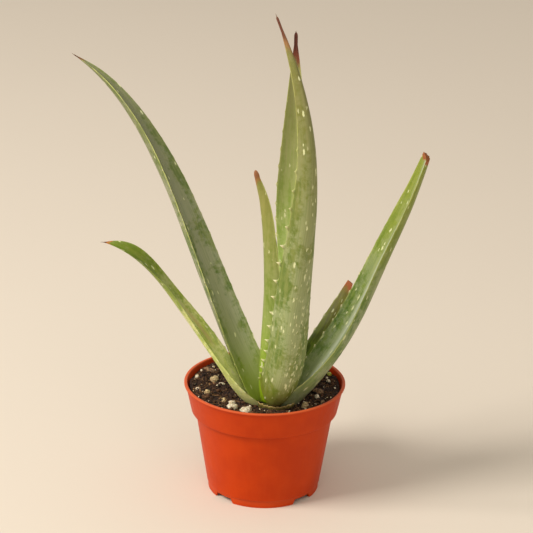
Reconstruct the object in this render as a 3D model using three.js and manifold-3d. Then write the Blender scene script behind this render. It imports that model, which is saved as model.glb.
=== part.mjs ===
// A young aloe in a plastic nursery pot. Millimetres, +Z up, standing on the plane z = 0.
// Everything is laid out from the pot's axis. The finished group is then moved so that the
// middle of its footprint stands over the origin.
import * as THREE from 'three';
import { mergeVertices } from 'three/addons/utils/BufferGeometryUtils.js';
import Module from 'manifold-3d';

const wasm = await Module();
wasm.setup();

// ---------------------------------------------------------------- materials

const material = (color, roughness) => new THREE.MeshStandardMaterial({ color, roughness, metalness: 0 });
const terracottaPlastic = material(0xc9502a, 0.5);
const pottingSoil = material(0x2c1d14, 0.95);
const leafSkin = material(0x7d9466, 0.45);
const youngLeafSkin = material(0x8fb04c, 0.45);
const lowLeafSkin = material(0x6f9440, 0.45);
const stemFlesh = material(0xa8a060, 0.7);
const driedScale = material(0xb08a4e, 0.8);
const perlite = material(0xe6dcc2, 0.9);
const bark = material(0x8a6b48, 0.9);
const coatedFeed = material(0xa8ac3a, 0.4);

// ---------------------------------------------------------------- driving dimensions

const gap = 0.3; // clearance between two pieces that lie against each other
const bedding = 0.4; // clearance round a leaf where its neighbours, the stem or the soil meet it

const pot = {
  height: 75.6,
  lipRadius: 53.5,
  lipOverhang: 1.1,
  lipHeight: 1.6,
  lipEdge: 0.35,
  collarHeight: 19.4, // from the shoulder up to the rim
  collarTaper: 3.8,
  shoulder: 2.8, // how far the collar stands out from the body
  shoulderDrop: 0.9,
  bodyTaper: 7.9,
  wall: 1.2,
  floor: 1.3,
  footHeight: 4.8,
  footInset: 0.8, // the foot ring is this much smaller than the body above it
  footWall: 1.4,
  footGaps: 4,
  footGapWidth: 13,
  footGapSplay: 1.5, // each end of a gap slopes out by this much towards the floor
  footGapReach: 4, // how far the cut for a gap runs past each face of the foot ring
  drainRadius: 4,
  drainEdge: 2.7, // of floor left between a drain hole and the foot ring
  middleDrainRadius: 5,
};

// How many flat sides each round thing has.
const sides = { pot: 64, drain: 20, soil: 48, stem: 24 };

const soil = {
  headspace: 6.6, // from the rim down to the mean level of the soil
  bank: 3.8, // how much higher the soil stands at the wall than near the crown
  dip: 1.5, // and how much it dips right at the crown
  dipReach: 22,
  bands: [1, 0.88, 0.75, 0.62, 0.48, 0.34, 0.2], // rings of its surface, as shares of its radius
};

// The soil's small hummocks: a coarse pair of crossed waves and a fine slanting one.
const hummocks = {
  height: 0.55,
  coarseX: 4.3,
  coarseY: 5.1,
  offset: 1,
  fineX: 2.9,
  fineY: 3.7,
  fineShare: 0.6,
};

const crown = { x: 5, y: -16, stemRadius: 6, stemDepth: 18, stemRise: 5 };

// The leaves, from the oldest on the outside of the crown to the youngest in the middle. Each
// starts on a ring round the crown and keeps its rise above the horizontal and its compass
// heading, in degrees, at stations that are evenly spaced along it. A turn of the blade about
// its own length is its twist. `root` is how far its foot stands below the soil, and `tip` is the
// least that half its width, and its thickness, come down to.
const leaves = [
  {
    name: 'leaf_left_low', skin: lowLeafSkin,
    ring: 11, around: 190, root: 3, length: 153, halfWidth: 9, taper: 6.5,
    thickness: 3.2, dish: 0.32, missingTip: 0, tip: 0.5,
    rise: [43, 59, 55, 54, 54, 41, -1], heading: [189, 171, 186, 164], twist: [3, 7, 5, 9, 30],
  },
  {
    name: 'leaf_right_small', skin: lowLeafSkin,
    ring: 9, around: 45, root: 3, length: 92, halfWidth: 9.25, taper: 3,
    thickness: 5.4, dish: 0.24, missingTip: 0.11, tip: 0.5,
    rise: [40, 49, 58], heading: [43, 41, 40], twist: [-4, 3],
  },
  {
    name: 'leaf_right', skin: leafSkin,
    ring: 8.5, around: -10, root: 3, length: 193, halfWidth: 12.75, taper: 3.8,
    thickness: 5.4, dish: 0.44, missingTip: 0.12, tip: 0.5,
    rise: [46, 57, 67, 67, 73], heading: [2, 8, 4, 4], twist: [3, -8, -5, -6, -7],
  },
  {
    name: 'leaf_front', skin: leafSkin,
    ring: 7, around: -81, root: -5, length: 274, halfWidth: 13, taper: 1.7,
    thickness: 10, dish: 0.4, missingTip: 0, tip: 0.8,
    rise: [50, 76, 77, 87, 107, 125], heading: [-69, -67, -48, -50], twist: [24, 8, 0],
  },
  {
    name: 'leaf_left_tall', skin: leafSkin,
    ring: 6, around: 152, root: 2, length: 269, halfWidth: 10, taper: 4.2,
    thickness: 8, dish: 0.44, missingTip: 0, tip: 0.4,
    rise: [60, 64, 65, 59, 42, 16], heading: [152, 153, 147, 141], twist: [40, 22, 5, -12, -9],
  },
  {
    name: 'leaf_back_tall', skin: leafSkin,
    ring: 4, around: 85, root: 1, length: 247, halfWidth: 12.25, taper: 3.1,
    thickness: 7, dish: 0.3, missingTip: 0, tip: 1.2,
    rise: [69, 81, 92, 91, 89], heading: [69, 38, 85, 91], twist: [29, 4, -19],
  },
  {
    name: 'leaf_inner_short', skin: youngLeafSkin,
    ring: 2.5, around: 200, root: 0, length: 161, halfWidth: 11.75, taper: 4.5,
    thickness: 6.6, dish: 0.48, missingTip: 0, tip: 1.8,
    rise: [89, 92, 88, 82, 74], heading: [215, 206, 184, 212], twist: [13, 5, -2],
  },
];

const blade = {
  walkSteps: 240, // short steps in which a midrib is walked
  stationSpacing: 11, // along the leaf
  sectionPoints: 16, // round the leaf
  faceShare: 0.15, // the upper face swells by this share of the back's thickness
  clasp: 0.7, // dish at the foot of a leaf, where it folds round the stem
  claspReach: 0.15, // share of the length over which the clasp opens out
  footNarrowing: 0.3, // how much narrower and thinner a leaf is where it leaves the stem
  footLength: 5,
  thinning: 1.6, // powers of the thickness profile
  thinningEnd: 0.8,
};

// The dried foot of a leaf that has gone: a thin brown scale round the front of the crown. It
// clasps the front leaf, so its own middle is set off from the crown's.
const scale = {
  offsetX: 3,
  offsetY: 0,
  radius: 14,
  flare: 1.2,
  thickness: 0.7,
  from: -142, // bearings of its two ends
  to: -42,
  below: 4,
  lowest: 2,
  horn: 1.5,
  steps: 20,
};

// What lies on the soil. Each lump is [bearing in degrees, share of the way out from the pot's
// axis to its wall, length, width, height].
const perliteGrains = [
  [165, 0.76, 7, 5.4, 4],
  [168, 0.97, 3.6, 3.2, 3],
  [-170, 0.94, 3, 2.8, 2.6],
  [-159, 0.87, 5, 4.6, 4.2],
  [176, 0.61, 4.4, 2.6, 2.4],
  [-131, 0.69, 4.8, 4.4, 3.8],
  [-140, 0.74, 4.6, 4.4, 4],
  [-122, 0.85, 6.2, 4.6, 4.4],
  [-109, 0.84, 9, 7, 6],
  [-46, 0.82, 5.2, 4.8, 4.6],
  [-20, 0.78, 4.6, 3, 3],
  [11, 0.91, 3.8, 3, 2.8],
  [-67, 0.86, 2.6, 2.4, 2.2],
  [121, 0.88, 4, 3, 2.6],
  [75, 0.83, 4.4, 3.6, 3.2],
  [48, 0.93, 3.4, 3, 2.6],
];
const barkChips = [
  [-10, 0.8, 9, 4.6, 3.4],
  [150, 0.97, 9.5, 3.6, 2.6],
  [-30, 0.94, 5, 2.6, 2.2],
];
const feedBeads = [[22, 0.98, 3.4, 3.4, 3.4]];
const lumpStandsProud = 0.15; // how far a lump's middle is above the soil, as a share of its height
const lumpDents = { acrossX: 3, acrossY: 4 }; // how many times a lump is pushed in and out across it

// ---------------------------------------------------------------- solids

const up = new THREE.Vector3(0, 0, 1);
const radians = THREE.MathUtils.degToRad;

// A closed geometry as a solid that can be cut and joined.
function solidOf(geometry) {
  const bare = geometry.clone();
  bare.deleteAttribute('normal');
  bare.deleteAttribute('uv');
  const merged = mergeVertices(bare);
  const vertProperties = new Float32Array(merged.attributes.position.array);
  const triVerts = new Uint32Array(merged.index.array);
  return new wasm.Manifold(new wasm.Mesh({ numProp: 3, vertProperties, triVerts }));
}

function geometryOf(solid) {
  const { vertProperties, triVerts } = solid.getMesh();
  const geometry = new THREE.BufferGeometry();
  geometry.setAttribute('position', new THREE.BufferAttribute(vertProperties, 3));
  geometry.setIndex(new THREE.BufferAttribute(triVerts, 1));
  geometry.computeVertexNormals();
  return geometry;
}

// The largest of the bodies that a cut leaves: the slivers beyond a neighbour are dropped.
function mainBody(solid) {
  const bodies = solid.decompose();
  return bodies.reduce((best, body) => (body.volume() > best.volume() ? body : best));
}

// A closed skin through rings of points. Every ring has as many points as the next and runs
// anticlockwise as seen from the last ring, and each end is closed straight across.
function skinThrough(rings) {
  const count = rings[0].length;
  const positions = rings.flat().flatMap((p) => [p.x, p.y, p.z]);
  const index = [];
  const addTriangle = (a, b, c) => {
    if (a !== b && b !== c && c !== a) index.push(a, b, c);
  };
  for (let i = 0; i < rings.length - 1; i += 1) {
    for (let j = 0; j < count; j += 1) {
      const next = (j + 1) % count;
      const low = i * count;
      const high = low + count;
      addTriangle(low + j, low + next, high + next);
      addTriangle(low + j, high + next, high + j);
    }
  }
  const last = (rings.length - 1) * count;
  for (let k = 0; k < count / 2; k += 1) {
    const far = (count - k) % count;
    const farNext = count - k - 1;
    addTriangle(last + k, last + k + 1, last + farNext);
    addTriangle(last + k, last + farNext, last + far);
    addTriangle(k, farNext, k + 1);
    addTriangle(k, far, farNext);
  }
  const geometry = new THREE.BufferGeometry();
  geometry.setAttribute('position', new THREE.Float32BufferAttribute(positions, 3));
  geometry.setIndex(index);
  return geometry;
}

// Evenly spaced values, read off smoothly at a share from 0 to 1 (Catmull-Rom).
function readAlong(values, share) {
  const last = values.length - 1;
  const at = share * last;
  const i = Math.min(Math.floor(at), last - 1);
  const t = at - i;
  const before = values[Math.max(i - 1, 0)];
  const a = values[i];
  const b = values[i + 1];
  const after = values[Math.min(i + 2, last)];
  const bend = -before + 3 * a - 3 * b + after;
  return 0.5 * (2 * a + (b - before) * t + (2 * before - 5 * a + 4 * b - after) * t * t + bend * t ** 3);
}

// ---------------------------------------------------------------- leaves

const soilLevel = pot.height - soil.headspace;

// The midrib of a leaf as frames: a point, the way along it, the way out of its upper face and
// the way across it. The midrib is walked in short steps that follow rise and heading.
function midrib(leaf, steps) {
  const walked = blade.walkSteps;
  const around = radians(leaf.around);
  const point = new THREE.Vector3(
    crown.x + leaf.ring * Math.cos(around),
    crown.y + leaf.ring * Math.sin(around),
    soilLevel - leaf.root,
  );
  const frames = [];
  for (let i = 0; i <= walked; i += 1) {
    const share = i / walked;
    const rise = radians(readAlong(leaf.rise, share));
    const heading = radians(readAlong(leaf.heading, share));
    const twist = radians(readAlong(leaf.twist, share));
    const outward = new THREE.Vector3(Math.cos(heading), Math.sin(heading), 0);
    const along = outward.clone().multiplyScalar(Math.cos(rise)).addScaledVector(up, Math.sin(rise));
    const face = outward.clone().multiplyScalar(-Math.sin(rise)).addScaledVector(up, Math.cos(rise));
    const across = face.clone().cross(along);
    face.applyAxisAngle(along, -twist);
    across.applyAxisAngle(along, -twist);
    frames.push({ share, point: point.clone(), along, face, across });
    point.addScaledVector(along, leaf.length / walked);
  }
  return Array.from({ length: steps + 1 }, (_, i) => frames[Math.round((i / steps) * walked)]);
}

// A leaf is a crescent carried along its midrib. The back is half an ellipse, the upper face is
// nearly flat, and both are dished so that the margins stand up. `swell` grows it all round.
function leafGeometry(leaf, swell) {
  const steps = Math.round(leaf.length / blade.stationSpacing);
  const rings = midrib(leaf, steps).map(({ share, point, face, across, along }, i) => {
    const whole = share * (1 - leaf.missingTip);
    const foot = 1 - blade.footNarrowing * Math.exp((-share * leaf.length) / blade.footLength);
    const half = Math.max(leaf.halfWidth * (1 - whole ** leaf.taper) * foot, leaf.tip);
    const thinned = (1 - whole ** blade.thinning) ** blade.thinningEnd;
    const back = Math.max(leaf.thickness * foot * thinned, leaf.tip);
    const dish = leaf.dish + (blade.clasp - leaf.dish) * Math.exp(-share / blade.claspReach);
    let slide = 0;
    if (i === 0) slide = -swell;
    if (i === steps) slide = swell;
    const centre = point.clone().addScaledVector(along, slide);
    return Array.from({ length: blade.sectionPoints }, (_, j) => {
      const turn = (j / blade.sectionPoints) * 2 * Math.PI;
      const x = (half + swell) * Math.cos(turn);
      const depth = Math.sin(turn) < 0 ? back + swell : back * blade.faceShare + swell;
      const y = (dish * x * x) / half + depth * Math.sin(turn);
      return centre.clone().addScaledVector(across, x).addScaledVector(face, y);
    });
  });
  return skinThrough(rings);
}

// ---------------------------------------------------------------- pot

const collarTop = pot.lipRadius - pot.lipOverhang;
const collarFoot = collarTop - pot.collarTaper;
const bodyTop = collarFoot - pot.shoulder;
const bodyFoot = bodyTop - pot.bodyTaper;
const footRadius = bodyFoot - pot.footInset;
const shoulderLevel = pot.height - pot.collarHeight;
const wallSlope = (bodyTop - bodyFoot) / (shoulderLevel - pot.footHeight);

// The inside of the pot as radius and height, from the floor up to the rim.
function potInside() {
  const stepTop = shoulderLevel + pot.wall;
  const stepFoot = stepTop - pot.shoulderDrop;
  return [
    [bodyFoot - pot.wall, pot.footHeight],
    [bodyFoot - pot.wall + wallSlope * (stepFoot - pot.footHeight), stepFoot],
    [collarFoot - pot.wall, stepTop],
    [collarTop - pot.wall, pot.height - pot.lipHeight],
    [collarTop - pot.wall + pot.lipEdge, pot.height],
  ];
}

function turned(profile, segments) {
  const points = profile.map(([radius, height]) => new THREE.Vector2(radius, height));
  return new THREE.LatheGeometry(points, segments).rotateX(Math.PI / 2);
}

function potSolid() {
  const underside = pot.footHeight - pot.floor;
  const outside = [
    [0, underside],
    [footRadius - pot.footWall, underside],
    [footRadius - pot.footWall, 0],
    [footRadius, 0],
    [footRadius, pot.footHeight],
    [bodyFoot, pot.footHeight + pot.lipEdge],
    [bodyTop, shoulderLevel - pot.shoulderDrop],
    [collarFoot, shoulderLevel],
    [collarTop, pot.height - pot.lipHeight],
    [pot.lipRadius, pot.height - pot.lipHeight + pot.lipEdge],
    [pot.lipRadius, pot.height - pot.lipEdge],
    [pot.lipRadius - pot.lipEdge, pot.height],
  ];
  const inside = potInside().reverse();
  const drainReach = footRadius - pot.footWall - pot.drainEdge - pot.drainRadius;
  let solid = solidOf(turned([...outside, ...inside, [0, pot.footHeight]], sides.pot));
  for (let i = 0; i < pot.footGaps; i += 1) {
    const turn = ((i + 0.5) / pot.footGaps) * 2 * Math.PI;
    solid = solid.subtract(solidOf(footGapGeometry(underside).rotateZ(turn)));
    solid = solid.subtract(solidOf(drainGeometry(pot.drainRadius, drainReach).rotateZ(turn)));
  }
  return solid.subtract(solidOf(drainGeometry(pot.middleDrainRadius, 0)));
}

// A gap in the foot ring along +X: a block whose ends splay out towards the floor.
function footGapGeometry(height) {
  const top = pot.footGapWidth / 2;
  const bottom = top + pot.footGapSplay;
  const reach = pot.footGapReach;
  const outline = new THREE.Shape([
    new THREE.Vector2(-bottom, -reach),
    new THREE.Vector2(bottom, -reach),
    new THREE.Vector2(bottom, 0),
    new THREE.Vector2(top, height),
    new THREE.Vector2(-top, height),
    new THREE.Vector2(-bottom, 0),
  ]);
  const depth = 2 * reach + pot.footWall;
  const block = new THREE.ExtrudeGeometry(outline, { depth, bevelEnabled: false });
  block.rotateX(Math.PI / 2).rotateZ(Math.PI / 2);
  return block.translate(footRadius - pot.footWall - reach, 0, 0);
}

function drainGeometry(radius, reach) {
  const hole = new THREE.CylinderGeometry(radius, radius, 4 * pot.floor, sides.drain).rotateX(Math.PI / 2);
  return hole.translate(reach, 0, pot.footHeight - pot.floor / 2);
}

// ---------------------------------------------------------------- soil and what lies on it

// The level of the soil at a point: low round the crown, banked up towards the wall, and rough.
function soilHeight(x, y) {
  const reach = Math.hypot(x - crown.x, y - crown.y);
  const banked = soil.bank * Math.min(reach / pot.lipRadius, 1) ** 2;
  const dipped = soil.dip * Math.exp(-((reach / soil.dipReach) ** 2));
  const coarse = Math.sin(x / hummocks.coarseX + hummocks.offset) * Math.cos(y / hummocks.coarseY);
  const fine = hummocks.fineShare * Math.sin(x / hummocks.fineX - y / hummocks.fineY);
  return soilLevel + banked - dipped + hummocks.height * (coarse + fine);
}

// The inside radius of the pot at a height, read off its profile.
function wallRadius(height) {
  const profile = potInside();
  const above = profile.findIndex(([, level]) => level > height);
  const [highRadius, high] = profile[above];
  const [lowRadius, low] = profile[above - 1];
  return lowRadius + ((height - low) / (high - low)) * (highRadius - lowRadius);
}

// The soil fills the pot from its floor up and keeps off the wall by the clearance.
function soilGeometry() {
  const ring = (radius, level) => Array.from({ length: sides.soil }, (_, i) => {
    const turn = (i / sides.soil) * 2 * Math.PI;
    const x = radius * Math.cos(turn);
    const y = radius * Math.sin(turn);
    return new THREE.Vector3(x, y, level ?? soilHeight(x, y));
  });
  const buried = potInside().filter(([, height]) => height < soilLevel);
  const edge = wallRadius(soilLevel) - gap;
  return skinThrough([
    ...buried.map(([radius, height]) => ring(radius - gap, height + gap)),
    ...soil.bands.map((share) => ring(share * edge)),
  ]);
}

function stemGeometry(swell) {
  const height = crown.stemDepth + crown.stemRise;
  const radius = crown.stemRadius + swell;
  const post = new THREE.CylinderGeometry(radius, radius, height + 2 * swell, sides.stem);
  return post.rotateX(Math.PI / 2).translate(crown.x, crown.y, soilLevel + crown.stemRise - height / 2);
}

// The dried scale is a thin wall on an arc round the crown. Its upper edge is lowest in the
// middle and rises to a horn at each end, and it flares outwards as it rises.
function scaleGeometry(swell) {
  const rings = Array.from({ length: scale.steps + 1 }, (_, i) => {
    const share = i / scale.steps;
    const turn = radians(scale.from + share * (scale.to - scale.from));
    const top = soilLevel + scale.lowest + scale.horn * (2 * share - 1) ** 2 + swell;
    const bottom = soilLevel - scale.below - swell;
    const corner = (radius, height) => new THREE.Vector3(
      crown.x + scale.offsetX + radius * Math.cos(turn),
      crown.y + scale.offsetY + radius * Math.sin(turn),
      height,
    );
    const inner = scale.radius - swell;
    const outer = scale.radius + scale.thickness + swell;
    return [
      corner(inner, bottom),
      corner(inner + scale.flare, top),
      corner(outer + scale.flare, top),
      corner(outer, bottom),
    ];
  });
  return skinThrough(rings);
}

// A rough lump: a ball of 80 facets pushed in and out, then drawn to its three sizes.
function lumpGeometry({ length, width, height, seed, roughness }, swell) {
  const ball = new THREE.IcosahedronGeometry(1, 1);
  const position = ball.attributes.position;
  const point = new THREE.Vector3();
  for (let i = 0; i < position.count; i += 1) {
    point.fromBufferAttribute(position, i);
    const dentX = Math.sin(lumpDents.acrossX * point.x + seed);
    const dentY = Math.cos(lumpDents.acrossY * point.y + 2 * seed + point.z);
    point.multiplyScalar(1 + roughness * dentX * dentY);
    point.multiply(new THREE.Vector3(length / 2 + swell, width / 2 + swell, height / 2 + swell));
    position.setXYZ(i, point.x, point.y, point.z);
  }
  return ball.rotateZ(seed);
}

// A lump lies at a bearing from the pot's axis and at a share of the way out to the wall.
function lumpPlaces() {
  const kinds = [
    { name: 'perlite', lumps: perliteGrains, roughness: 0.12, skin: perlite },
    { name: 'bark_chip', lumps: barkChips, roughness: 0.1, skin: bark },
    { name: 'feed_bead', lumps: feedBeads, roughness: 0, skin: coatedFeed },
  ];
  return kinds.flatMap(({ name, lumps, roughness, skin }) => lumps.map((lump, i) => {
    const [bearing, out, length, width, height] = lump;
    const reach = out * (wallRadius(soilLevel) - 2 * gap - length / 2);
    const x = reach * Math.cos(radians(bearing));
    const y = reach * Math.sin(radians(bearing));
    const suffix = `_${String(i + 1).padStart(2, '0')}`;
    const place = [x, y, soilHeight(x, y) + lumpStandsProud * height];
    return { name: name + suffix, size: { length, width, height, seed: bearing, roughness }, place, skin };
  }));
}

// ---------------------------------------------------------------- the plant

const plant = new THREE.Group();

function addPiece(name, solid, skin) {
  const piece = new THREE.Mesh(geometryOf(solid), skin);
  piece.name = name;
  plant.add(piece);
}

// Pieces are fitted in turn: each gives way to those before it, and the soil to all of them.
const rooms = [];

function addFitted(name, solid, room, skin) {
  const fitted = rooms.reduce((body, older) => body.subtract(older), solid);
  addPiece(name, mainBody(fitted), skin);
  rooms.push(room);
}

addPiece('pot', potSolid(), terracottaPlastic);
for (const leaf of leaves) {
  addFitted(leaf.name, solidOf(leafGeometry(leaf, 0)), solidOf(leafGeometry(leaf, bedding)), leaf.skin);
}
addFitted('stem', solidOf(stemGeometry(0)), solidOf(stemGeometry(gap)), stemFlesh);
addFitted('dried_scale', solidOf(scaleGeometry(0)), solidOf(scaleGeometry(gap)), driedScale);
for (const { name, size, place, skin } of lumpPlaces()) {
  const lump = (swell) => solidOf(lumpGeometry(size, swell).translate(...place));
  addFitted(name, lump(0), lump(gap), skin);
}
addFitted('soil', solidOf(soilGeometry()), null, pottingSoil);

const footprint = new THREE.Box3().setFromObject(plant);
const middle = footprint.getCenter(new THREE.Vector3());
plant.position.set(-middle.x, -middle.y, 0);

export default plant;
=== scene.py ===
"""A young aloe in its plastic nursery pot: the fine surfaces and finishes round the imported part.

Shapes are worked out in millimetres from the pot's axis and stored in metres in the part's frame.
Each leaf, the pot, the soil and the things that lie on it are surfaces on two parameters.
"""

import bpy
import numpy as np
from mathutils import Matrix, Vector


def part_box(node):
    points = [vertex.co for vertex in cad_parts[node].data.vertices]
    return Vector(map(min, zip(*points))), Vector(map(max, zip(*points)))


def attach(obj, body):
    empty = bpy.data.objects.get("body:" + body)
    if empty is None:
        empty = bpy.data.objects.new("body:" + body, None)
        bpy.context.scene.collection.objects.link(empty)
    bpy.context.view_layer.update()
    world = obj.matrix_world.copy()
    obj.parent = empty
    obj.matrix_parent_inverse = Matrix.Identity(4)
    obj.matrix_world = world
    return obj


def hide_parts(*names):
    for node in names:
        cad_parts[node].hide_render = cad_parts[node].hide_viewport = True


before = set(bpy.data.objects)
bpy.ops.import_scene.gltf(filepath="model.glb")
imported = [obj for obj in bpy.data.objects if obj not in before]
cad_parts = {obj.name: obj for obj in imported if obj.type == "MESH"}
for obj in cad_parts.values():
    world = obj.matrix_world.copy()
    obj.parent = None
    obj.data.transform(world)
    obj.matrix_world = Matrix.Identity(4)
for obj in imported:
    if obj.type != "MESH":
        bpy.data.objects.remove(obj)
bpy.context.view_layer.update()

MM = 0.001
pot_low, pot_high = (np.array(corner, float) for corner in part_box("pot"))
pot_axis = np.array([(pot_low[0] + pot_high[0]) / 2, (pot_low[1] + pot_high[1]) / 2, 0.0])

# ------------------------------------------------------------------ driving dimensions, millimetres

pot_height = pot_high[2] / MM
lip_radius = (pot_high[0] - pot_low[0]) / 2 / MM
lip_overhang = 1.1
lip_height = 1.6
collar_height = 19.4
collar_taper = 3.8
shoulder = 2.8
shoulder_drop = 0.9
body_taper = 7.9
wall = 1.2
floor_thickness = 1.3
foot_height = 4.8
foot_inset = 0.8
foot_wall = 1.4
foot_gaps = 4
foot_gap_width = 13.0
foot_gap_splay = 1.5
drain_radius = 4.0
drain_edge = 2.7
middle_drain_radius = 5.0

headspace = 6.6
soil_bank = 3.8
soil_dip = 1.5
soil_dip_reach = 22.0
hummock_height = 0.55
hummock_offset = 1.0
coarse_hummock = (4.3, 5.1)  # the coarse pair of crossed waves, along x and y
fine_hummock = (2.9, 3.7)  # the fine slanting wave
fine_hummock_share = 0.6
soil_level = pot_height - headspace
gap = 0.3

crown = np.array([5.0, -16.0, 0.0])

# The leaves as the part lays them out, with what only the fine surface has: how tall the marginal
# teeth are and where they stop, how much of the tip has dried, the withered thread at its end, how
# far a broken end slants, how far up the yellow of the foot reaches as a share of the length, and
# for each side in turn how pale its margin line is and how full its teeth are.
leaves = {
    "leaf_left_low": dict(
        ring=11, around=190, root=3, length=153, half_width=9, taper=6.5, thickness=3.2, dish=0.32,
        missing_tip=0, tip=0.5, rise=[43, 59, 55, 54, 54, 41, -1], heading=[189, 171, 186, 164],
        twist=[3, 7, 5, 9, 30], tooth=1.1, tooth_end=0.6, dry=5, thread=2.5, slant=0,
        margins=(0.25, 0.3), teeth=(0.6, 1.0), yellowing=0.34, slot="old_leaf_skin",
    ),
    "leaf_right_small": dict(
        ring=9, around=45, root=3, length=92, half_width=9.25, taper=3, thickness=5.4, dish=0.24,
        missing_tip=0.11, tip=0.5, rise=[40, 49, 58], heading=[43, 41, 40],
        twist=[-4, 3], tooth=1.1, tooth_end=0.9, dry=9, thread=0, slant=1.0,
        margins=(0.5, 0.5), teeth=(1.0, 1.0), yellowing=0.2, slot="old_leaf_skin",
    ),
    "leaf_right": dict(
        ring=8.5, around=-10, root=3, length=193, half_width=12.75, taper=3.8, thickness=5.4, dish=0.44,
        missing_tip=0.12, tip=0.5, rise=[46, 57, 67, 67, 73], heading=[2, 8, 4, 4],
        twist=[3, -8, -5, -6, -7], tooth=1.5, tooth_end=0.75, dry=4, thread=0, slant=1.6,
        margins=(0.5, 0.85), teeth=(1.0, 0.4), yellowing=0.2, slot="leaf_skin",
    ),
    "leaf_front": dict(
        ring=7, around=-81, root=-5, length=274, half_width=13, taper=1.7, thickness=10, dish=0.4,
        missing_tip=0, tip=0.8, rise=[50, 76, 77, 87, 107, 125], heading=[-69, -67, -48, -50],
        twist=[24, 8, 0], tooth=3.3, tooth_end=0.72, dry=26, thread=2, slant=0,
        margins=(0.5, 0.5), teeth=(0.12, 1.0), yellowing=0.07, slot="leaf_skin",
    ),
    "leaf_left_tall": dict(
        ring=6, around=152, root=2, length=269, half_width=10, taper=4.2, thickness=8, dish=0.44,
        missing_tip=0, tip=0.4, rise=[60, 64, 65, 59, 42, 16], heading=[152, 153, 147, 141],
        twist=[40, 22, 5, -12, -9], tooth=0.9, tooth_end=0.85, dry=8, thread=2, slant=0,
        margins=(0.85, 0.15), teeth=(0.7, 0.5), yellowing=0.12, slot="leaf_skin",
    ),
    "leaf_back_tall": dict(
        ring=4, around=85, root=1, length=247, half_width=12.25, taper=3.1, thickness=7, dish=0.3,
        missing_tip=0, tip=1.2, rise=[69, 81, 92, 91, 89], heading=[69, 38, 85, 91],
        twist=[29, 4, -19], tooth=1.2, tooth_end=0.8, dry=24, thread=1, slant=0,
        margins=(0.6, 0.6), teeth=(1.0, 1.0), yellowing=0.16, slot="leaf_skin",
    ),
    "leaf_inner_short": dict(
        ring=2.5, around=200, root=0, length=161, half_width=11.75, taper=4.5, thickness=6.6, dish=0.48,
        missing_tip=0, tip=1.8, rise=[89, 92, 88, 82, 74], heading=[215, 206, 184, 212],
        twist=[13, 5, -2], tooth=0.9, tooth_end=0.7, dry=9, thread=0, slant=0,
        margins=(0.6, 0.6), teeth=(0.8, 0.8), yellowing=0.3, slot="young_leaf_skin",
    ),
}

face_share = 0.15  # the upper face swells by this share of the back's thickness
thread_half = 0.2
thread_thinning = 0.6  # share of a thread's size that is lost by its end
clasp = 0.7
clasp_reach = 0.15
foot_narrowing = 0.3
foot_length = 5.0
walk_steps = 240
thread_droop = 0.05  # radians that a withered thread bends down for each millimetre
blunt_share = 2.2  # length of a whole tip's rounded end, as a share of its half width
first_tooth = 5.0  # distance of the first tooth from the foot
tooth_spacing = 13.0
crowded_spacing = 0.45  # share of the spacing that is left between teeth at the foot
crowded_length = 34.0
tooth_base = 2.6  # half the length of a tooth's foot along the margin
tooth_lean = 0.45  # how far a tooth leans towards the tip, as a share of its height
tooth_spread = 1.4  # how far round the margin a tooth's foot reaches
around_points = 72
back_offset = 0.2  # metres that the map of a leaf's back is set to one side of its face
rim_half = 0.55
cut_reach = 14.0  # how far back from a broken end its slant is shared out
margin_draw = 0.3  # draws the points round a section towards the two margins

# ------------------------------------------------------------------ numbers that vary smoothly


def smooth(low, high, value):
    """0 below low, 1 above high, and the S-curve 3t^2 - 2t^3 between them."""
    t = np.clip((value - low) / (high - low), 0, 1)
    return t * t * (3 - 2 * t)


def value_noise(points, size, seed):
    """Random numbers from -1 to 1 on a lattice, size apart, blended between its corners."""
    lattice = np.random.default_rng(seed).uniform(-1, 1, (32, 32, 32))
    place = np.asarray(points, float) / size
    cell = np.floor(place).astype(int)
    ease = place - cell
    ease = ease * ease * (3 - 2 * ease)
    total = np.zeros(place.shape[:-1])
    for corner in np.ndindex(2, 2, 2):
        at = (cell + corner) % 32
        weight = np.prod(np.where(np.array(corner) == 1, ease, 1 - ease), axis=-1)
        total += weight * lattice[at[..., 0], at[..., 1], at[..., 2]]
    return total


def along_x(values):
    """Points with these values as x and 0 as y and z."""
    return np.stack([values, 0 * values, 0 * values], -1)


def angles(count):
    """Bearings evenly spaced round a circle, in radians."""
    return np.arange(count) / count * 2 * np.pi


def around_axis(radius, turn, height):
    """Points from radii, bearings and heights."""
    return np.stack([radius * np.cos(turn), radius * np.sin(turn), height], -1)


def rough_noise(points, size, seed, octaves=3):
    """Value noise added up at halving sizes and halving heights."""
    return sum(value_noise(points, size / 2**k, seed + k) / 2**k for k in range(octaves))


def read_along(values, share):
    """Evenly spaced values read at shares from 0 to 1 by the Catmull-Rom cubic."""
    values = np.asarray(values, float)
    last = len(values) - 1
    at = np.clip(share, 0, 1) * last
    i = np.minimum(at.astype(int), last - 1)
    t = at - i
    before, a = values[np.maximum(i - 1, 0)], values[i]
    b, after = values[i + 1], values[np.minimum(i + 2, last)]
    bend = -before + 3 * a - 3 * b + after
    return 0.5 * (2 * a + (b - before) * t + (2 * before - 5 * a + 4 * b - after) * t**2 + bend * t**3)


# ------------------------------------------------------------------ meshes


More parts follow.
